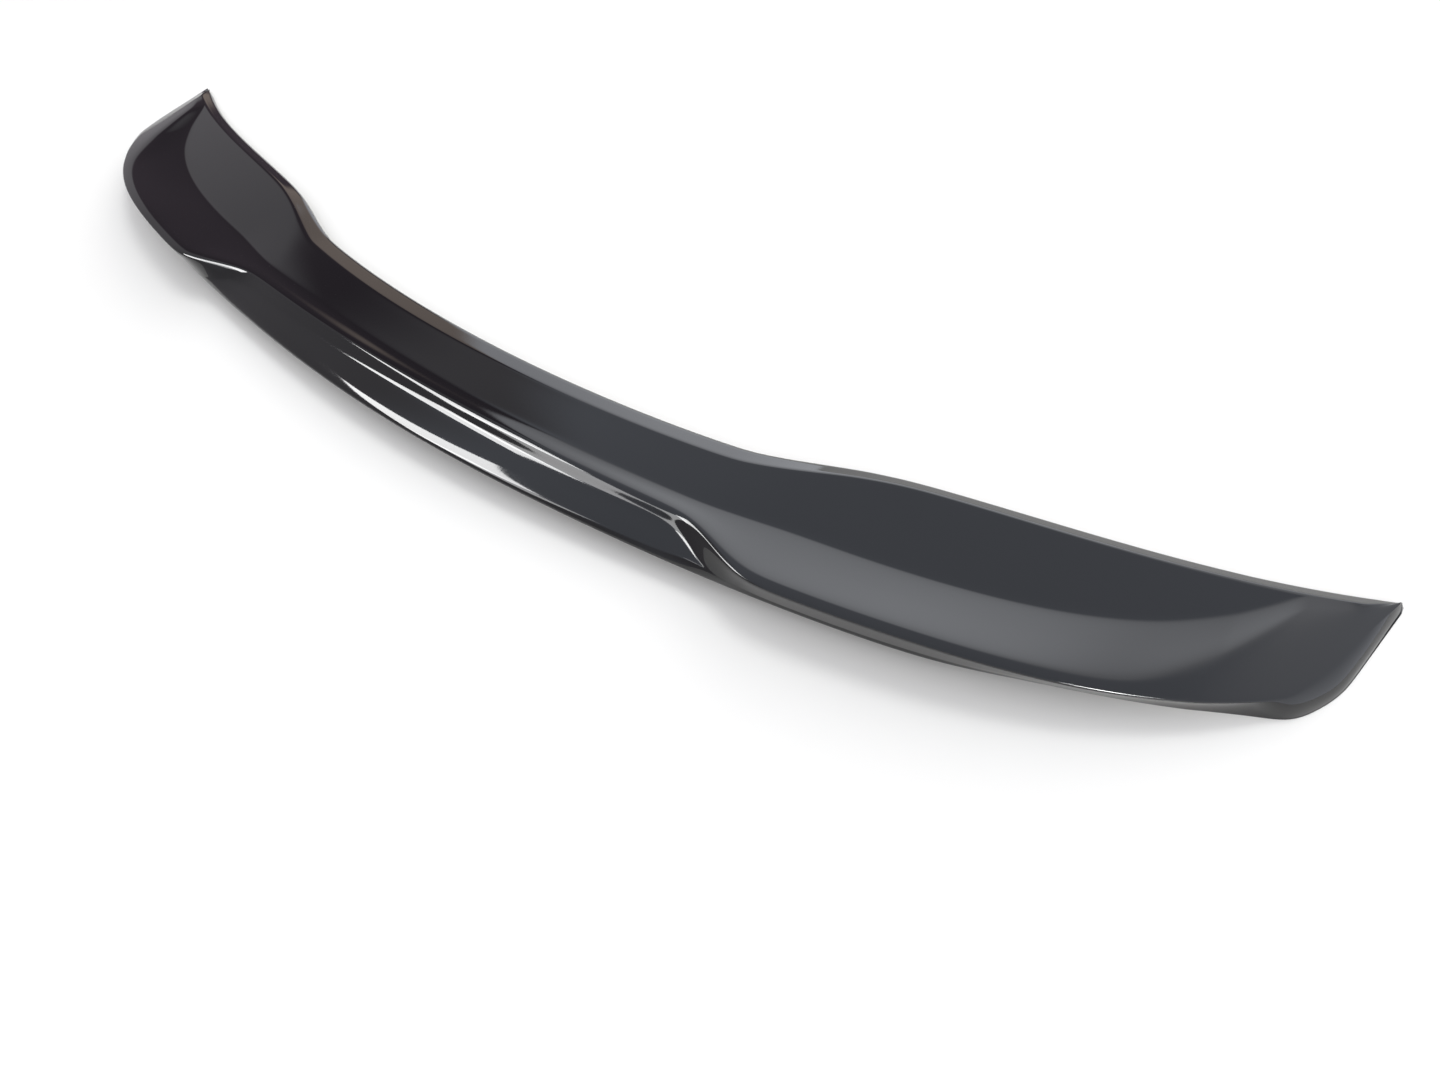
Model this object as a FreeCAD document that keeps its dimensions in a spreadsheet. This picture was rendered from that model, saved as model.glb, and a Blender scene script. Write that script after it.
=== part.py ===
import FreeCAD, Part
import math
import os

# A boot-lip car spoiler: one injection-moulded skin, open underneath, bonded to a boot lid.
# X runs across the car, Y forwards and Z up. The origin is the middle of the box's underside.

# Driving dimensions, in millimetres. Stations are measured from the middle of the car.
SIZES = {
    "half_span": 618.7,        # middle to the front corner of an end
    "end_sweep": 140.6,        # how far the ends come forward of the middle
    "crown": 14.6,             # how far the middle of the leading edge arches over the ends
    "front_edge": 3.0,         # thickness of the leading edge
    "wave_depth": 17.0,        # extra depth of the ends where the leading edge waves forward
    "wave_start": 215.0,       # station where that wave begins
    "wave_rise": 125.0,        # span over which the wave grows
    "wave_fall": 255.0,        # span over which it dies away again
    "bevel_width": 17.0,       # sloping band behind the leading edge, at the middle
    "bevel_end": 11.0,         # width of that band towards the ends
    "bevel_taper_start": 230.0,  # station where it begins to narrow
    "bevel_taper": 130.0,      # span over which it does
    "bevel_rise": 6.5,         # height gained over that band
    "bevel_share": 0.25,       # most of a section that the band may take
    "nose_share": 0.3,         # share of the band that rounds over at the leading edge
    "rear_reach": 105.0,       # leading edge to lower trailing edge at the middle
    "trail_sweep": 95.4,       # even forward sweep of the trailing edge
    "trail_hook": 91.1,        # extra sweep close to the ends
    "side_slope": 3.0,         # forward run of an end's side edge for each millimetre outwards
    "corner_round": 2.5,       # softness of the rear corner in plan
    "tip_blunt": 1.5,          # flat left on the front corner
    "ridge_setback": 71.0,     # leading edge to the ridge at the middle
    "ridge_sweep": 83.0,       # forward sweep of the ridge
    "ridge_height": 34.0,      # ridge above the resting plane
    "bend_start": 228.0,       # station where the ridge swings back
    "bend_length": 84.0,       # span of that swing
    "lip_height": 39.0,        # lip above the resting plane, outboard of the swing
    "drop_start": 380.0,       # station where the lip begins to fall
    "drop_curve": 1.7,         # exponent of that fall
    "tip_height": 5.5,         # what is left of the lip at the front corner
    "lip_depth": 50.0,         # trailing edge forward to the foot of the rising lip
    "lip_top": 0.22,           # share of the lip that is its nearly level top
    "lip_round": 0.1,          # share of the lip that rounds over at its crest
    "lip_growth": 5.5,         # how much deeper the lip is outboard of the ridge's swing
    "valley_round": 5.0,       # distance before the lip's foot over which the flat turns up
    "spread_start": 505.0,     # station where the lip's top begins to widen over the tip
    "spread_length": 85.0,     # span over which it does
    "spread_depth": 8.0,       # how far its foot moves forward there
    "spread_top": 0.82,        # share of the lip that is its level top at the tip
    "riser_run": 4.0,          # plan depth of the step under the ridge
    "riser_drop": 8.0,         # height of that step
    "foot_round": 3.0,         # softness of the corner at the step's foot
    "ledge_height": 24.0,      # lower trailing edge above the resting plane at the middle
    "ledge_droop": 8.0,        # how much lower it is at the ends of the ledge
    "ledge_fall": 2.0,         # height lost across the last of the ledge
    "ledge_edge": 4.0,         # thickness of the lower edge
    "ledge_tuck": 5.0,         # how far the lower edge tucks in under the lip
    "merge_start": 410.0,      # station where step, ledge and wall begin to join in one plain wall
    "merge_length": 75.0,      # span over which they do
    "undercut": 20.0,          # overhang of the trailing edge behind the rear wall
    "undercut_end": 548.0,     # station where the wall stands under the edge itself
    "undercut_fade": 75.0,     # span over which the overhang dies away
    "rear_crown": 8.0,         # arch of the rear bonding land at the middle
    "rear_contact": 450.0,     # station where the rear land comes down to the resting plane
    "pad_start": 470.0,        # station where the front land begins to come down to it
    "pad_length": 80.0,        # span over which it does
    "pad_trim": 1.0,           # moulding planed off the ends' undersides to leave flat pads
    "flare_start": 540.0,      # station where the wall begins to lean outwards
    "flare_length": 48.0,      # span over which the lean grows
    "flare_curve": 2.5,        # exponent of that growth
    "flare": 15.0,             # most that the wall leans
    "flare_tip": 5.0,          # lean left at the front corner
    "tip_lean": 12.0,          # end stretch over which the leading edge takes up that lean
    "dome": 0.7,               # how far the wall rounds over at the ends, from straight to a quarter round
    "wall": 3.0,               # moulded wall
    "crest_wall": 4.0,         # moulding over the hollow under the lip
    "root_wall": 6.0,          # moulding behind the hollow under the lip
    "ledge_wall": 4.5,         # moulding over the hollow under the ledge
    "front_land": 14.0,        # width of the front bonding land
    "end_land": 62.0,          # solid end left beyond the hollow
}

document = FreeCAD.newDocument("spoiler")
sheet = document.addObject("Spreadsheet::Sheet", "sizes")
for number, (name, value) in enumerate(SIZES.items(), start=1):
    sheet.set(f"A{number}", name)
    sheet.set(f"B{number}", str(value))
    sheet.setAlias(f"B{number}", name)
document.recompute()


def size(name):
    """A driving dimension, as the sheet holds it."""
    return float(sheet.get(name))


def ease(x, start, length):
    """Zero before the start, one past the length, and a smooth S between."""
    share = min(max((x - start) / length, 0.0), 1.0)
    return share * share * (3.0 - 2.0 * share)


def blend(first, second, share):
    """A value the given share of the way from the first to the second."""
    return first + (second - first) * share


def soft_max(first, second, width):
    """The larger of two values, with the corner between them rounded."""
    return 0.5 * (first + second + math.hypot(first - second, width))


def lead_line(x):
    """Plan of the leading edge: an even bow with a wave forward at each end."""
    bow = size("end_sweep") * (x / size("half_span")) ** 2
    peak = size("wave_start") + size("wave_rise")
    wave = ease(x, size("wave_start"), size("wave_rise")) * (1.0 - ease(x, peak, size("wave_fall")))
    return bow + size("wave_depth") * wave


def trail_line(x):
    """Plan of the trailing edge: a bow that turns a round corner into the end's side edge."""
    share = x / size("half_span")
    rear = -size("rear_reach") + size("trail_sweep") * share ** 2 + size("trail_hook") * share ** 8
    side = lead_line(size("half_span")) - size("side_slope") * (size("half_span") - x)
    return soft_max(rear, side, size("corner_round"))


def trail_slope(x):
    """Forward run of the trailing edge for each millimetre outwards."""
    step = 0.5
    return (trail_line(x + step) - trail_line(x - step)) / (2.0 * step)


def tip_end():
    """The last station, where an end is cut off blunt."""
    return size("half_span") - size("tip_blunt")


def lip_crest(x):
    """Plan place and height of the crest: the ridge at the middle, the trailing edge outboard."""
    swing = ease(x, size("bend_start"), size("bend_length"))
    ridge = -size("ridge_setback") + size("ridge_sweep") * (x / size("half_span")) ** 2
    fallen = max(0.0, (x - size("drop_start")) / (size("half_span") - size("drop_start")))
    lip = blend(size("lip_height"), size("tip_height"), fallen ** size("drop_curve"))
    return blend(ridge, trail_line(x), swing), blend(size("ridge_height"), lip, swing)


class Section:
    """The heights and places of one cut across the spoiler at a station."""

    def __init__(self, x):
        self.x = x
        self.lead = lead_line(x)
        self.lead_z = size("front_edge") + size("crown") * (1.0 - (x / size("half_span")) ** 2)
        self.crest, self.crest_z = lip_crest(x)
        chord = self.lead - self.crest
        narrowed = ease(x, size("bevel_taper_start"), size("bevel_taper"))
        bevel = blend(size("bevel_width"), size("bevel_end"), narrowed)
        room = min(1.0, size("bevel_share") * chord / bevel)
        self.flat = self.lead - bevel * room
        self.flat_z = self.lead_z + size("bevel_rise") * room

        # The lip's foot keeps its distance from the trailing edge, and stays behind the bevel.
        slope = trail_slope(x)
        stretch = math.hypot(1.0, slope)
        spread = ease(x, size("spread_start"), size("spread_length"))
        self.top = blend(size("lip_top"), size("spread_top"), spread)
        depth = size("lip_depth") + size("lip_growth") * ease(x, size("bend_start"), size("bend_length"))
        run = trail_line(x) + depth * stretch + size("spread_depth") * spread - self.crest
        self.run = -soft_max(-run, self.crest - self.flat, size("front_edge"))
        self.valley = self.crest + self.run

        # The lower trailing edge droops outboard, until the ledge dies out in one plain rear wall.
        self.merge = ease(x, size("merge_start"), size("merge_length"))
        bend_end = size("bend_start") + size("bend_length")
        self.edge = trail_line(x) + size("ledge_tuck") * ease(x, 0.0, bend_end)
        self.edge_z = size("ledge_height") - size("ledge_droop") * ease(x, 0.0, bend_end)
        self.foot = max(self.crest - size("riser_run"), self.edge)
        late = ease(x, 0.5 * (size("bend_start") + bend_end), 0.5 * size("bend_length"))
        step_foot = size("ridge_height") - size("riser_drop")
        self.foot_z = blend(step_foot, self.edge_z + size("ledge_fall"), late)

        # The rear wall stands under the overhang, and leans outwards round the end.
        tucked = 1.0 - ease(x, size("undercut_end") - size("undercut_fade"), size("undercut_fade"))
        lean_end = size("flare_start") + size("flare_length")
        grown = min(max((x - size("flare_start")) / size("flare_length"), 0.0), 1.0)
        thinned = min(max((x - lean_end) / (tip_end() - lean_end), 0.0), 1.0)
        outwards = grown ** size("flare_curve") * blend(size("flare"), size("flare_tip"), thinned)
        self.lean = outwards * slope / stretch
        self.tip = ease(x, tip_end() - size("tip_lean"), size("tip_lean"))
        domed = ease(x, size("flare_start") - size("flare_length"), 2.0 * size("flare_length"))
        self.dome = size("dome") * domed * (1.0 - self.tip)
        self.base = trail_line(x) + size("undercut") * tucked - outwards / stretch
        arch = size("rear_crown") * (1.0 - (x / size("rear_contact")) ** 2)
        self.base_z = max(arch, -size("pad_trim"))

    def lip_point(self, forward, up):
        """Place of a control point on the lip: shares of its run from the crest, and of its rise."""
        return self.crest + forward * self.run, blend(self.flat_z, self.crest_z, up)

    def skin(self):
        """Control points from the leading edge's underside, over the top, to the rear land."""
        pad = ease(self.x, size("pad_start"), size("pad_length"))
        land_z = blend(self.lead_z - size("front_edge"), -size("pad_trim"), pad)
        under_z = self.edge_z - size("ledge_edge")
        nose = size("nose_share")
        upper = [
            (self.lead, land_z),
            (self.lead, self.lead_z),
            (blend(self.lead, self.flat, nose), blend(self.lead_z, self.flat_z, nose)),
            (self.flat, self.flat_z),
            (min(self.valley + size("valley_round"), 0.5 * (self.flat + self.valley)), self.flat_z),
            self.lip_point(1.0, 0.0),
            self.lip_point(0.5 * (1.0 + self.top), 0.32),
            self.lip_point(self.top, 0.9),
            self.lip_point(0.5 * (self.top + size("lip_round")), 0.98),
            self.lip_point(size("lip_round"), 1.0),
            self.lip_point(0.0, 1.0),
        ]
        # Below the crest: step, ledge, edge and rear wall, which become one slanting wall outboard.
        ledge = max(self.foot - self.edge, size("foot_round") / 3.0)
        past = min(max(size("foot_round") / ledge, 0.1), 0.35)
        stepped = [
            (0.5 * (self.crest + self.foot), 0.5 * (self.crest_z + self.foot_z)),
            (self.foot, self.foot_z),
            (blend(self.foot, self.edge, past), blend(self.foot_z, self.edge_z, past)),
            (blend(self.foot, self.edge, 0.7), blend(self.foot_z, self.edge_z, 0.7)),
            (self.edge, self.edge_z),
            (self.edge, under_z),
            (0.5 * (self.edge + self.base), under_z),
            (self.base, under_z),
            (self.base, self.base_z),
        ]
        # At the very tip the whole cut leans with the wall, so that it ends on one plane.
        tilt = self.tip * self.lean / (self.crest_z - self.base_z)
        points = [FreeCAD.Vector(self.x + tilt * (self.crest_z - z), y, z) for y, z in upper]
        crest = points[-1]
        base = FreeCAD.Vector(self.x + self.lean, self.base, self.base_z)
        for number, (y, z) in enumerate(stepped, start=1):
            upright = FreeCAD.Vector(self.x, y, z)
            share = number / len(stepped)
            out = blend(share, math.sin(share * math.pi / 2.0), self.dome)
            down = blend(share, 1.0 - math.cos(share * math.pi / 2.0), self.dome)
            drop = base - crest
            slanting = crest + FreeCAD.Vector(out * drop.x, out * drop.y, down * drop.z)
            points.append(upright + (slanting - upright) * self.merge)
        return points

    def hollow(self):
        """Control points of the hollow inside the skin, from its front mouth to its rear one."""
        below = -2.0 * size("pad_trim")
        front = self.lead - size("front_land")
        inner_z = self.flat_z - size("wall")
        rear = self.base + size("wall")
        root = max(self.edge, self.crest) + size("root_wall")
        roof = root + size("wall")
        up = min(1.0, (self.valley - roof) / self.run)
        roof_z = blend(self.flat_z, self.crest_z, up) - size("crest_wall")
        root_z = min(self.foot_z - size("ledge_wall"), roof_z - size("wall"))
        points = [
            (front, below),
            (front, inner_z),
            (0.5 * (self.flat + self.valley), inner_z),
            (self.valley, inner_z),
            (blend(self.valley, roof, 0.4), blend(inner_z, roof_z, 0.25)),
            (roof, roof_z),
            (root, roof_z),
            (root, root_z),
            (rear, min(root_z, self.edge_z - size("ledge_wall"))),
            (rear, below),
        ]
        return [FreeCAD.Vector(self.x, y, z) for y, z in points]


def stations(end):
    """Stations from one end to the other, closer together where the ridge swings and at the ends."""
    bend_end = size("bend_start") + size("bend_length")
    corner = min(size("flare_start"), end - 1.0)
    tip_count = max(2, round((end - corner) / size("tip_height")))
    marks = [(0.0, 5), (size("bend_start"), 6), (bend_end, 9), (corner, tip_count)]
    half = []
    for (start, count), (stop, _) in zip(marks, marks[1:] + [(end, 0)]):
        half += [start + (stop - start) * step / count for step in range(count)]
    half.append(end)
    return [-x for x in reversed(half[1:])] + half


def mirrored(points, x):
    """The same points on the other side of the middle, where the station is on that side."""
    return [FreeCAD.Vector(-point.x, point.y, point.z) for point in points] if x < 0 else points


def cubic_knots(count):
    """Knots and multiplicities of a clamped, evenly spaced cubic with that many control points."""
    spans = count - 3
    return list(range(spans + 1)), [4] + [1] * (spans - 1) + [4]


def lofted(profile, end):
    """A closed solid whose upper side is the cubic surface over the stations' control points."""
    columns = [mirrored(profile(Section(abs(x))), x) for x in stations(end)]
    span_knots, span_multiples = cubic_knots(len(columns))
    cut_knots, cut_multiples = cubic_knots(len(columns[0]))
    surface = Part.BSplineSurface()
    surface.buildFromPolesMultsKnots(
        columns, span_multiples, cut_multiples, span_knots, cut_knots, False, False, 3, 3
    )
    front = surface.vIso(cut_knots[0]).toShape()
    rear = surface.vIso(cut_knots[-1]).toShape()
    faces = [Part.makeRuledSurface(front, rear)]
    first_rim, last_rim = [], []
    for start, stop in zip(cut_knots, cut_knots[1:]):
        strip = surface.copy()
        strip.segment(span_knots[0], span_knots[-1], start, stop)
        faces.append(strip.toShape())
        first_rim.append(strip.uIso(span_knots[0]))
        last_rim.append(strip.uIso(span_knots[-1]))
    for rim in (first_rim, last_rim):
        closing = Part.LineSegment(rim[-1].EndPoint, rim[0].StartPoint)
        faces.append(Part.Face(Part.Wire([curve.toShape() for curve in rim + [closing]])))
    shell = Part.makeShell(faces)
    shell.sewShape()
    solid = Part.makeSolid(shell)
    if solid.Volume < 0:
        solid.reverse()
    return solid


# The outer form, filled down to the bonding lands.
outer = document.addObject("Part::Feature", "outer_form")
outer.Shape = lofted(Section.skin, tip_end())

# The space inside the moulding, open at the underside.
space = document.addObject("Part::Feature", "hollow_form")
space.Shape = lofted(Section.hollow, size("half_span") - size("end_land"))

# What lies under the resting plane is planed off, which leaves a flat pad under each end.
ground = document.addObject("Part::Box", "ground")
ground.setExpression("Length", "sizes.half_span * 3")
ground.setExpression("Width", "sizes.half_span * 2")
ground.setExpression("Height", "sizes.pad_trim * 5")
ground.setExpression("Placement.Base.x", "-Length / 2")
ground.setExpression("Placement.Base.y", "-Width / 2")
ground.setExpression("Placement.Base.z", "-Height")
planed = document.addObject("Part::Cut", "planed_form")
planed.Base = outer
planed.Tool = ground

# The moulding itself, set over the middle of its own box.
spoiler = document.addObject("Part::Cut", "spoiler_body")
spoiler.Label = "spoiler_body"
spoiler.Base = planed
spoiler.Tool = space
document.recompute()
box = spoiler.Shape.optimalBoundingBox()
spoiler.Placement.Base = FreeCAD.Vector(0.0, -box.Center.y, 0.0)
document.recompute()

for item in document.Objects:
    if "Invalid" in item.State or "Error" in item.State:
        raise RuntimeError(f"{item.Label} did not build: {item.State}")
for item in (outer, space, planed, spoiler):
    if item.Shape.isNull() or not item.Shape.isValid() or len(item.Shape.Solids) != 1:
        raise RuntimeError(f"{item.Label} is not one sound solid")

os.makedirs("parts", exist_ok=True)
spoiler.Shape.exportStep(f"parts/{spoiler.Label}.step")
box = spoiler.Shape.optimalBoundingBox()
print(f"{spoiler.Label}: {box.XLength:.1f} x {box.YLength:.1f} x {box.ZLength:.1f} mm")
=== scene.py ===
import math

import bpy
import numpy as np
from mathutils import Matrix, Vector


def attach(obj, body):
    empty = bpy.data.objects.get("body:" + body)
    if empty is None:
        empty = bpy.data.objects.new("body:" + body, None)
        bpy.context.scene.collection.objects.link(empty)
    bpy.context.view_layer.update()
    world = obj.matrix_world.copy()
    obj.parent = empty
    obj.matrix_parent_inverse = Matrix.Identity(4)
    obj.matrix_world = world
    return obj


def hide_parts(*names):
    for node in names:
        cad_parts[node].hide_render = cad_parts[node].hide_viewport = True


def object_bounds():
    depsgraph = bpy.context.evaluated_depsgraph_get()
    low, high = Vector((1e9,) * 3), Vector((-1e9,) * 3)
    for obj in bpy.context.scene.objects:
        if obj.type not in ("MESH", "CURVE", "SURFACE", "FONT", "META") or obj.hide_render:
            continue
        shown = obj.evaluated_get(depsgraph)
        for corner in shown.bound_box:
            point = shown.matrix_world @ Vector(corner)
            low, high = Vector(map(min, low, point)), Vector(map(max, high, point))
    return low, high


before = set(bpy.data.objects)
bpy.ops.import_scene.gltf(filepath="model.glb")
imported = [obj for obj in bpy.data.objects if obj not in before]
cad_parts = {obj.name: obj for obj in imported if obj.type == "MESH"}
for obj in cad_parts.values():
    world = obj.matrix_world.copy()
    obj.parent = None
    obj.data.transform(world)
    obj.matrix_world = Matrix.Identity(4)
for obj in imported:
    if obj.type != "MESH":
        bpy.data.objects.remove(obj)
cad_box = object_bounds()

# The moulding: one injection-moulded skin of ABS, bowed to follow a boot lid, open underneath.
# Its sections change along the car's width: a ridge with a step and a ledge behind it at the
# middle, a lip that is itself the trailing edge outboard, and a leaning side wall at each tip.
half_span, end_sweep = 0.6187, 0.1406
crown, front_edge, nose_share = 0.0146, 0.003, 0.3
wave_depth, wave_start, wave_rise, wave_fall = 0.017, 0.215, 0.125, 0.255
bevel_width, bevel_rise, bevel_share, bevel_edge = 0.017, 0.0065, 0.25, 0.003
bevel_end_width, bevel_taper_start, bevel_taper_length = 0.011, 0.230, 0.130
rear_reach, trail_sweep, trail_hook = 0.1037, 0.0941, 0.0911
side_slope, corner_round, tip_blunt = 3.0, 0.0025, 0.0015
ridge_setback, ridge_sweep, ridge_height = 0.0695, 0.083, 0.030
bend_start, bend_length = 0.228, 0.084
lip_height, drop_start, drop_curve, tip_height = 0.0389, 0.380, 1.7, 0.0055
lip_depth, lip_growth, lip_top, lip_round = 0.050, 0.0055, 0.22, 0.06
lip_rises = (0.4, 0.9, 0.98, 1.0)
ridge_shares, ridge_rises = (0.7, 0.45, 0.25, 0.12), (0.3, 0.65, 0.9, 1.0)
flat_lift, valley_round, valley_lift = 0.0025, 0.005, 0.9
crest_round, crest_share_max = 0.004, 0.5
spread_start, spread_length, spread_depth, spread_top = 0.505, 0.085, 0.008, 0.82
riser_run, riser_drop, ledge_fall = 0.007, 0.0045, 0.002
foot_round, foot_share_min, foot_share_max = 0.004, 0.1, 0.35
ledge_height, ledge_droop, ledge_edge, ledge_tuck = 0.0228, 0.005, 0.004, 0.005
brow_share, brow_fall = 0.7, 0.4
merge_start, merge_length = 0.410, 0.075
undercut, undercut_end, undercut_fade = 0.016, 0.599, 0.120
rear_crown, rear_contact = 0.008, 0.450
pad_start, pad_length, pad_trim = 0.470, 0.080, 0.001
flare_start, flare_length, flare_curve = 0.540, 0.053, 2.5
flare, flare_tip, tip_lean, dome = 0.015, 0.0042, 0.012, 0.7
wall, crest_wall, root_wall, ledge_wall = 0.003, 0.004, 0.006, 0.0045
roof_share, roof_rise = 0.4, 0.25
front_land, end_land, rim_gap = 0.014, 0.062, 0.0003
steps_across, steps_round, steps_hollow = 8, 8, 4
crease = math.radians(38)
bend_end = bend_start + bend_length
tip_end = half_span - tip_blunt
hollow_end = half_span - end_land


def ease(x, start, length):
    """Zero before the start, one past the length, and 3 t^2 - 2 t^3 at the share t between."""
    t = np.clip((x - start) / length, 0, 1)
    return t * t * (3 - 2 * t)


def soft_max(a, b, width):
    """Half the sum of two values and of the hypotenuse of their difference and a width."""
    return 0.5 * (a + b + np.hypot(a - b, width))


def lead_line(x):
    """Leading edge in plan: a parabola, with a wave that eases in and out again near the ends."""
    wave = ease(x, wave_start, wave_rise) * (1 - ease(x, wave_start + wave_rise, wave_fall))
    return end_sweep * (x / half_span) ** 2 + wave_depth * wave


def trail_line(x):
    """Trailing edge in plan: a bow of the second and eighth powers of x over the half span,
    turning a round corner into a straight side."""
    u = x / half_span
    rear = -rear_reach + trail_sweep * u ** 2 + trail_hook * u ** 8
    side = lead_line(half_span) - side_slope * (half_span - x)
    return soft_max(rear, side, corner_round)


def section(x):
    """Heights and places of the section at each distance x from the middle, as a dictionary of arrays.
    The crest eases from the ridge's parabola to the trailing edge by the swing, and the rear wall
    leans out at the tips along the normal of the trailing edge."""
    s = {"lead": lead_line(x), "trail": trail_line(x)}
    s["lead_z"] = front_edge + crown * (1 - (x / half_span) ** 2)
    swing = ease(x, bend_start, bend_length)
    fallen = np.clip((x - drop_start) / (half_span - drop_start), 0, None) ** drop_curve
    ridge = -ridge_setback + ridge_sweep * (x / half_span) ** 2
    s["crest"] = ridge + (s["trail"] - ridge) * swing
    lip = lip_height + (tip_height - lip_height) * fallen
    s["crest_z"] = ridge_height + (lip - ridge_height) * swing
    chord = s["lead"] - s["crest"]
    taper = ease(x, bevel_taper_start, bevel_taper_length)
    bevel = bevel_width + (bevel_end_width - bevel_width) * taper
    room = np.clip(bevel_share * chord / bevel, None, 1)
    s["flat"] = s["lead"] - bevel * room
    s["flat_z"] = s["lead_z"] + bevel_rise * room
    step = 0.0005
    slope = (trail_line(x + step) - trail_line(x - step)) / (2 * step)
    stretch = np.hypot(1, slope)
    spread = ease(x, spread_start, spread_length)
    s["top"] = lip_top + (spread_top - lip_top) * spread
    depth = lip_depth + lip_growth * swing
    run = s["trail"] + depth * stretch + spread_depth * spread - s["crest"]
    s["run"] = -soft_max(-run, s["crest"] - s["flat"], front_edge)
    s["valley"] = s["crest"] + s["run"]
    s["valley_z"] = s["flat_z"] + flat_lift * (1 - swing)
    s["swing"] = swing
    s["merge"] = ease(x, merge_start, merge_length)
    s["edge"] = s["trail"] + ledge_tuck * ease(x, 0, bend_end)
    s["edge_z"] = ledge_height - ledge_droop * ease(x, 0, bend_end)
    s["foot"] = np.maximum(s["crest"] - riser_run, s["edge"])
    late = ease(x, bend_start + bend_length / 2, bend_length / 2)
    step_foot = ridge_height - riser_drop
    s["foot_z"] = step_foot + (s["edge_z"] + ledge_fall - step_foot) * late
    tucked = 1 - ease(x, undercut_end - undercut_fade, undercut_fade)
    grown = np.clip((x - flare_start) / flare_length, 0, 1) ** flare_curve
    flare_end = flare_start + flare_length
    thinned = np.clip((x - flare_end) / (tip_end - flare_end), 0, 1)
    outwards = grown * (flare + (flare_tip - flare) * thinned)
    s["lean"] = outwards * slope / stretch
    s["tip"] = ease(x, tip_end - tip_lean, tip_lean)
    s["dome"] = dome * ease(x, flare_start - flare_length, 2 * flare_length) * (1 - s["tip"])
    s["base"] = s["trail"] + undercut * tucked - outwards / stretch
    s["base_z"] = np.maximum(rear_crown * (1 - (x / rear_contact) ** 2), -pad_trim)
    return s


def between(a, b, share):
    """The value a share of the way from a to b."""
    return a + (b - a) * share


def skin_net(x):
    """Control points of the outer skin at each x: underside of the leading edge, band, flat, lip,
    crest, step, ledge and rear wall. Outboard the rows behind the crest slide onto one domed wall."""
    s = section(x)
    pad = ease(x, pad_start, pad_length)
    rise = s["crest_z"] - s["valley_z"]
    under_z = s["edge_z"] - ledge_edge
    bevel_inner = 1 - bevel_edge / (s["lead"] - s["flat"])
    turn_up = np.minimum(s["valley"] + valley_round, between(s["flat"], s["valley"], 0.5))
    lip_shares = (0.5 * (1 + s["top"]), s["top"], 0.5 * (s["top"] + lip_round), lip_round)
    slope_shares = [between(a, b, s["swing"]) for a, b in zip(ridge_shares, lip_shares)]
    slope_rises = [between(a, b, s["swing"]) for a, b in zip(ridge_rises, lip_rises)]
    rows = [
        (s["lead"], between(s["lead_z"] - front_edge, -pad_trim, pad)),
        (s["lead"], s["lead_z"]),
        (between(s["lead"], s["flat"], nose_share), between(s["lead_z"], s["flat_z"], nose_share)),
        (between(s["lead"], s["flat"], bevel_inner), between(s["lead_z"], s["flat_z"], bevel_inner)),
        (s["flat"], s["flat_z"]),
        (s["flat"] - bevel_edge, s["flat_z"]),
        (turn_up, between(s["flat_z"], s["valley_z"], valley_lift)),
        (s["valley"], s["valley_z"]),
    ]
    rows += [
        (s["crest"] + share * s["run"], s["valley_z"] + height * rise)
        for share, height in zip(slope_shares, slope_rises)
    ]
    rows.append((s["crest"], s["crest_z"]))
    ledge = np.maximum(s["foot"] - s["edge"], foot_round / 3)
    past_foot = np.clip(foot_round * (1 - s["swing"]) / ledge, foot_share_min, foot_share_max)
    past_crest = np.clip(crest_round / (s["crest_z"] - s["foot_z"]), 0, crest_share_max)
    stepped = [
        (between(s["crest"], s["foot"], past_crest), between(s["crest_z"], s["foot_z"], past_crest)),
        (s["foot"], s["foot_z"]),
        (between(s["foot"], s["edge"], past_foot), between(s["foot_z"], s["edge_z"], past_foot)),
        (between(s["foot"], s["edge"], brow_share), between(s["foot_z"], s["edge_z"], brow_fall)),
        (s["edge"], s["edge_z"]),
        (s["edge"], under_z),
        (between(s["edge"], s["base"], 0.5), under_z),
        (s["base"], under_z),
        (s["base"], s["base_z"]),
    ]
    tilt = s["lean"] * s["tip"] / (s["crest_z"] - s["base_z"])
    net = [np.stack([x + tilt * (s["crest_z"] - z), y, z], axis=-1) for y, z in rows]
    crest = net[-1]
    base = np.stack([x + s["lean"], s["base"], s["base_z"]], axis=-1)
    for number, (y, z) in enumerate(stepped, start=1):
        upright = np.stack([x, y, z], axis=-1)
        share = number / len(stepped)
        out = between(share, math.sin(share * math.pi / 2), s["dome"])
        down = between(share, 1 - math.cos(share * math.pi / 2), s["dome"])
        slanting = between(crest, base, np.stack([out, out, down], axis=-1))
        net.append(between(upright, slanting, s["merge"][:, None]))
    return np.stack(net, axis=1)


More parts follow.
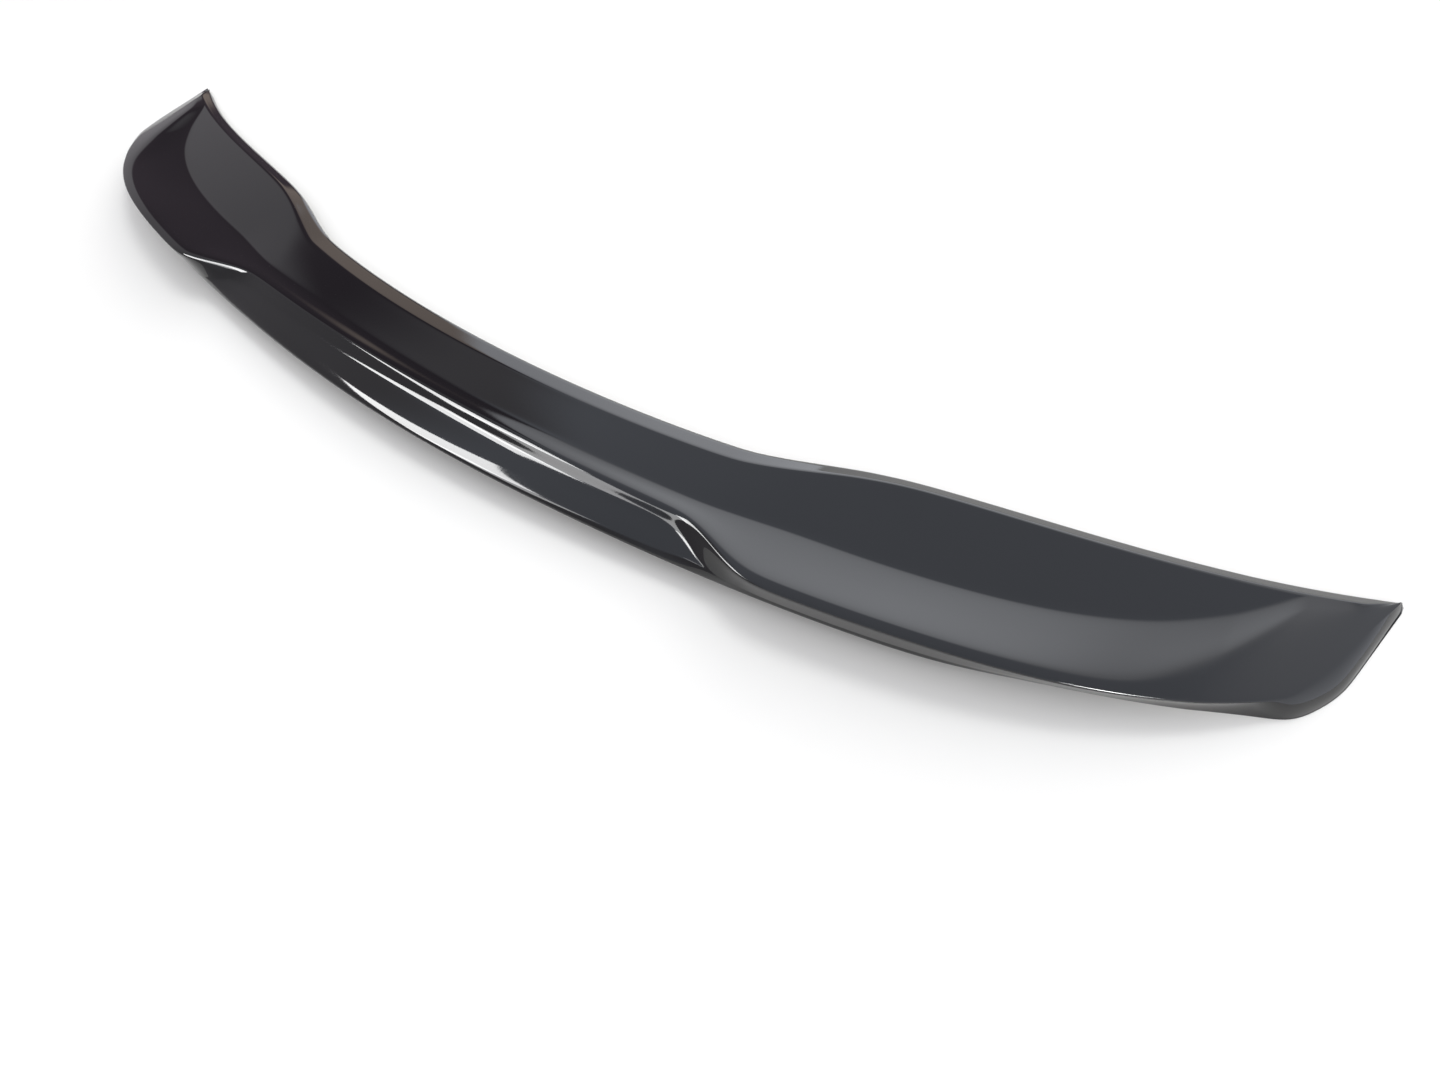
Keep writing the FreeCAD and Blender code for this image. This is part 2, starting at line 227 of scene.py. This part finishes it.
def hollow_net(x, front_z, rear_z):
    """Control points of the hollow at each x, a wall inside the skin, from its rear mouth
    to its front one."""
    s = section(x)
    front = s["lead"] - front_land
    rear = s["base"] + wall
    inner_z = s["flat_z"] - wall
    root = np.maximum(s["edge"], s["crest"]) + root_wall
    roof = root + wall
    share = np.clip((s["valley"] - roof) / s["run"], None, 1)
    roof_z = s["flat_z"] + (s["crest_z"] - s["flat_z"]) * share - crest_wall
    root_z = np.minimum(s["foot_z"] - ledge_wall, roof_z - wall)
    rows = [
        (rear, rear_z),
        (rear, np.minimum(root_z, s["edge_z"] - ledge_wall)),
        (root, root_z),
        (root, roof_z),
        (roof, roof_z),
        (between(s["valley"], roof, roof_share), between(inner_z, roof_z, roof_rise)),
        (s["valley"], inner_z),
        (between(s["flat"], s["valley"], 0.5), inner_z),
        (front, inner_z),
        (front, front_z),
    ]
    return np.stack([np.stack([x, y, z], axis=-1) for y, z in rows], axis=1)


def cubic_weights(t, count):
    """Weights of `count` control points of a clamped, evenly knotted cubic at each t,
    by the usual recursion: each degree blends two neighbours of the degree below."""
    knots = np.clip(np.arange(count + 4) - 3, 0, count - 3).astype(float)
    t = np.clip(t, 0, count - 3 - 1e-9)[:, None]
    weights = ((t >= knots[:-1]) & (t < knots[1:])).astype(float)
    for degree in range(1, 4):
        left = knots[degree:-1] - knots[:-degree - 1]
        right = knots[degree + 1:] - knots[1:-degree]
        none = np.zeros((len(t), len(left)))
        rising = np.divide(t - knots[:-degree - 1], left, out=none.copy(), where=left > 0)
        falling = np.divide(knots[degree + 1:] - t, right, out=none.copy(), where=right > 0)
        weights = rising * weights[:, :-1] + falling * weights[:, 1:]
    return weights


def station_line():
    """Stations across the car, closer together where the ridge swings and round the tips."""
    marks = [
        (0.0, bend_start, 5),
        (bend_start, bend_end, 6),
        (bend_end, flare_start, 9),
        (flare_start, tip_end, 14),
    ]
    spans = [np.linspace(start, end, count, endpoint=False) for start, end, count in marks]
    half = np.concatenate(spans + [[tip_end]])
    return np.concatenate([-half[:0:-1], half])


def moulding_loops():
    """Closed loops of points round the moulding's sections, from tip to tip.
    The skin is a cubic surface over the stations' control points. The hollow is drawn under each of
    its columns, and lies flat on the underside beyond the hollow's ends. All is planed at z = 0,
    and the depth is centred on the box of the solids."""
    stations = station_line()
    net = skin_net(np.abs(stations))
    net[:, :, 0] *= np.where(stations < 0, -1, 1)[:, None]
    spans, bands = len(stations) - 3, net.shape[1] - 3
    columns = np.linspace(0, spans, steps_across * spans + 1)
    x_of = cubic_weights(columns, len(stations)) @ stations
    rims = [side * (hollow_end + gap) for side in (-1, 1) for gap in (0.0, rim_gap)]
    columns = np.sort(np.concatenate([columns, np.interp(rims, x_of, columns)]))
    rows = np.linspace(0, bands, steps_round * bands + 1)
    across, down = cubic_weights(columns, len(stations)), cubic_weights(rows, net.shape[1])
    skin = np.einsum("au,uvk,bv->abk", across, net, down)

    front, rear = skin[:, 0], skin[:, -1]
    x = front[:, 0]
    depth = front[:, 1] - rear[:, 1]
    front_z = between(front[:, 2], rear[:, 2], front_land / depth)
    rear_z = between(rear[:, 2], front[:, 2], wall / depth)
    inner = hollow_net(np.abs(x), front_z, rear_z)
    inner[:, :, 0] = x[:, None]
    bands = inner.shape[1] - 3
    turns = np.linspace(0, bands, steps_hollow * bands + 1)
    hollow = np.einsum("avk,bv->abk", inner, cubic_weights(turns, inner.shape[1]))
    shares = np.linspace(0, 1, len(turns) + 2)[1:-1]
    flat = between(rear[:, None], front[:, None], shares[None, :, None])
    hollow = np.where((np.abs(x) <= hollow_end + 1e-6)[:, None, None], hollow, flat)
    loops = np.concatenate([skin, hollow], axis=1)
    middle = (skin[:, :, 1].min() + skin[:, :, 1].max()) / 2
    loops[:, :, 1] += (cad_box[0][1] + cad_box[1][1]) / 2 - middle
    loops[:, :, 2] = np.maximum(loops[:, :, 2], 0)
    return loops


def closed_tube(name, loops):
    """A closed mesh over a grid of loops: a quad for each step along and round, and a face
    on each end."""
    columns, rows = loops.shape[:2]
    index = np.arange(columns * rows).reshape(columns, rows)
    after = np.roll(index, -1, axis=1)
    quads = np.stack([index[:-1], after[:-1], after[1:], index[1:]], axis=-1).reshape(-1, 4)
    faces = quads.tolist() + [index[0][::-1].tolist(), index[-1].tolist()]
    mesh = bpy.data.meshes.new(name)
    mesh.from_pydata(loops.reshape(-1, 3).tolist(), [], faces)
    mesh.validate()
    mesh.shade_smooth()
    mesh.set_sharp_from_angle(angle=crease)
    piece = bpy.data.objects.new(name, mesh)
    bpy.context.scene.collection.objects.link(piece)
    return piece


spoiler = closed_tube("spoiler_skin", moulding_loops())


# The finish: piano-black plastic, polished in the mould. It mirrors the room, with a faint ripple
# in the polish and a soft haze in the places where it was wiped.
def gloss_black():
    """Black gloss whose roughness and tone wander with soft noise, over a faint ripple."""
    material = bpy.data.materials.new("gloss_black")
    material.use_nodes = True
    nodes, links = material.node_tree.nodes, material.node_tree.links
    shader = nodes["Principled BSDF"]
    shader.inputs["IOR"].default_value = 1.5
    place = nodes.new("ShaderNodeTexCoord").outputs["Object"]

    haze = nodes.new("ShaderNodeTexNoise")
    haze.inputs["Scale"].default_value = 9
    haze.inputs["Detail"].default_value = 5
    links.new(place, haze.inputs["Vector"])
    haze_range = nodes.new("ShaderNodeMapRange")
    haze_range.inputs["To Min"].default_value = 0.03
    haze_range.inputs["To Max"].default_value = 0.075
    links.new(haze.outputs["Fac"], haze_range.inputs["Value"])
    links.new(haze_range.outputs["Result"], shader.inputs["Roughness"])

    tone = nodes.new("ShaderNodeValToRGB")
    tone.color_ramp.elements[0].color = (0.0035, 0.0035, 0.004, 1)
    tone.color_ramp.elements[1].color = (0.006, 0.006, 0.0065, 1)
    links.new(haze.outputs["Fac"], tone.inputs["Fac"])
    links.new(tone.outputs["Color"], shader.inputs["Base Color"])

    ripple = nodes.new("ShaderNodeTexNoise")
    ripple.inputs["Scale"].default_value = 320
    links.new(place, ripple.inputs["Vector"])
    bump = nodes.new("ShaderNodeBump")
    bump.inputs["Strength"].default_value = 0.012
    bump.inputs["Distance"].default_value = 0.0004
    links.new(ripple.outputs["Fac"], bump.inputs["Height"])
    links.new(bump.outputs["Normal"], shader.inputs["Normal"])
    return material


spoiler.data.materials.append(gloss_black())
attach(spoiler, "root")
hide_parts("spoiler_body")


# The table: a plain white sheet that runs out of the picture on all sides, lies under the
# spoiler's two pads and takes the shadow.
def plain_card(name, reach, material):
    """A flat square card about the origin, reaching so far each way."""
    corners = [(-reach, -reach, 0), (reach, -reach, 0), (reach, reach, 0), (-reach, reach, 0)]
    mesh = bpy.data.meshes.new(name)
    mesh.from_pydata(corners, [], [(0, 1, 2, 3)])
    mesh.materials.append(material)
    card = bpy.data.objects.new(name, mesh)
    bpy.context.scene.collection.objects.link(card)
    return card


def table_white():
    """Matt white, a little warm, so that it reads as neutral in the room's cool light."""
    material = bpy.data.materials.new("table_white")
    material.use_nodes = True
    matt = material.node_tree.nodes["Principled BSDF"]
    matt.inputs["Base Color"].default_value = (0.98, 0.938, 0.851, 1)
    matt.inputs["Roughness"].default_value = 1
    matt.inputs["Specular IOR Level"].default_value = 0
    return material


table = plain_card("table", 4.0, table_white())


# The light: a pale room with a dim left side, which the gloss mirrors, three windows that only gleam
# in the gloss, and a soft lamp under the ceiling that casts the shadow behind the trailing edge.
def soft_panel(name, place, target, width, height, radiance):
    """A rectangular lamp that faces a target; its power is pi times its area times its radiance."""
    lamp = bpy.data.lights.new(name, "AREA")
    lamp.shape = "RECTANGLE"
    lamp.size, lamp.size_y = width, height
    lamp.energy = math.pi * width * height * radiance
    panel = bpy.data.objects.new(name, lamp)
    panel.location = place
    panel.rotation_euler = (Vector(target) - Vector(place)).to_track_quat("-Z", "Y").to_euler()
    panel.visible_camera = False
    bpy.context.scene.collection.objects.link(panel)
    return panel


def pale_room():
    """The room round the table, by direction: a cool pale ceiling, brighter towards the right; a
    dim left side with a dark corner and a brown door ahead; and a white wall from there to the
    right, brightest ahead. Each part fades in with smooth steps of the cosines between the
    direction looked in and the directions that bound the part."""
    world = bpy.data.worlds.new("pale_room")
    world.use_nodes = True
    nodes, links = world.node_tree.nodes, world.node_tree.links
    look = nodes.new("ShaderNodeTexCoord").outputs["Generated"]

    def fade(towards, start, end):
        """Smooth step of the cosine to a direction."""
        cosine = nodes.new("ShaderNodeVectorMath")
        cosine.operation = "DOT_PRODUCT"
        cosine.inputs[1].default_value = Vector(towards).normalized()
        links.new(look, cosine.inputs[0])
        step = nodes.new("ShaderNodeMapRange")
        step.interpolation_type = "SMOOTHSTEP"
        step.inputs["From Min"].default_value = start
        step.inputs["From Max"].default_value = end
        links.new(cosine.outputs["Value"], step.inputs["Value"])
        return step.outputs["Result"]

    def product(first, second):
        """Two fades at once."""
        node = nodes.new("ShaderNodeMath")
        node.operation = "MULTIPLY"
        links.new(first, node.inputs[0])
        links.new(second, node.inputs[1])
        return node.outputs["Value"]

    def laid_over(under, share, colour):
        """A colour over the one below it, by a share; the lowest is the plain ceiling."""
        node = nodes.new("ShaderNodeMix")
        node.data_type = "RGBA"
        node.clamp_factor = True
        links.new(share, node.inputs["Factor"])
        if under is None:
            node.inputs["A"].default_value = (0.88, 0.93, 1.05, 1)
        else:
            links.new(under, node.inputs["A"])
        node.inputs["B"].default_value = colour
        return node.outputs["Result"]

    down, up = (0, 0, -1), (0, 0, 1)
    left, wall_edge = (-0.94, 0.34, 0), (0.715, 0.699, 0)
    tone = laid_over(None, fade((1, 0, 0), 0.3, 0.95), (1.45, 1.5, 1.62, 1))

    behind = fade((-0.643, -0.766, 0), -0.04, 0.06)
    left_side = product(behind, fade((-0.996, -0.087, 0), 0.2, 0.45))
    dim = product(left_side, fade(down, -0.78, -0.64))
    tone = laid_over(tone, dim, (0.47, 0.45, 0.48, 1))

    ahead_left = fade(left, 0.45, 0.6)
    corner = product(fade((0.399, 0.917, 0), -0.02, 0.03), ahead_left)
    dark = product(corner, fade(down, -0.58, -0.48))
    tone = laid_over(tone, dark, (0.14, 0.11, 0.135, 1))

    door = product(fade((0.602, 0.799, 0), -0.02, 0.03), ahead_left)
    door_height = product(fade(down, -0.37, -0.32), fade(up, 0.09, 0.15))
    tone = laid_over(tone, product(door, door_height), (0.77, 0.64, 0.57, 1))

    white_wall = product(fade((0.17, 0, -1), -0.68, -0.56), fade(wall_edge, -0.015, 0.015))
    tone = laid_over(tone, product(white_wall, fade(left, -0.45, 0.0)), (1.45, 1.48, 1.58, 1))
    bright = product(white_wall, fade(wall_edge, 0.0, 0.25))
    tone = laid_over(tone, product(bright, fade(left, 0.20, 0.45)), (2.2, 2.26, 2.4, 1))
    links.new(tone, nodes["Background"].inputs["Color"])
    nodes["Background"].inputs["Strength"].default_value = 1
    return world


bpy.context.scene.world = pale_room()
window = soft_panel("window", (-1.65, -0.54, 1.97), (0, -0.1, 0), 1.3, 0.8, 16.0)
rear_window = soft_panel("rear_window", (-1.33, -1.22, 1.93), (0, -0.1, 0), 1.0, 0.5, 6.0)
right_window = soft_panel("right_window", (1.75, -0.32, 1.56), (0.5, 0, 0), 0.5, 0.4, 70.0)
for pane in (window, rear_window, right_window):
    pane.visible_diffuse = False
ceiling_lamp = soft_panel("ceiling_lamp", (0.15, 0.60, 1.6), (0, 0, 0), 0.5, 0.5, 8.0)
ceiling_lamp.data.color = (0.88, 0.93, 1.0)
ceiling_lamp.visible_glossy = False
bpy.context.scene.view_settings.view_transform = "Standard"

# The camera: behind and above the right half, looking down and across to the left tip, and
# slightly rolled. Its focal length is given in pixels of a picture 1440 wide.
focal_pixels, frame_pixels = 850.0, 1440.0
turn, dip, roll = math.radians(42.55), math.radians(54.63), math.radians(-7.44)
eye = Vector((0.476, -0.3045, 0.462))
right = Vector((math.cos(turn), math.sin(turn), 0))
level = Vector((-math.sin(turn), math.cos(turn), 0))
ahead = level * math.cos(dip) - Vector((0, 0, math.sin(dip)))
above = right.cross(ahead)
rolled_right = right * math.cos(roll) + above * math.sin(roll)
rolled_above = above * math.cos(roll) - right * math.sin(roll)
lens = bpy.data.cameras.new("camera")
lens.sensor_width = 36
lens.lens = lens.sensor_width * focal_pixels / frame_pixels
lens.clip_start = 0.01
camera = bpy.data.objects.new("camera", lens)
camera.matrix_world = Matrix((rolled_right, rolled_above, -ahead)).transposed().to_4x4()
camera.location = eye
bpy.context.scene.collection.objects.link(camera)
bpy.context.scene.camera = camera
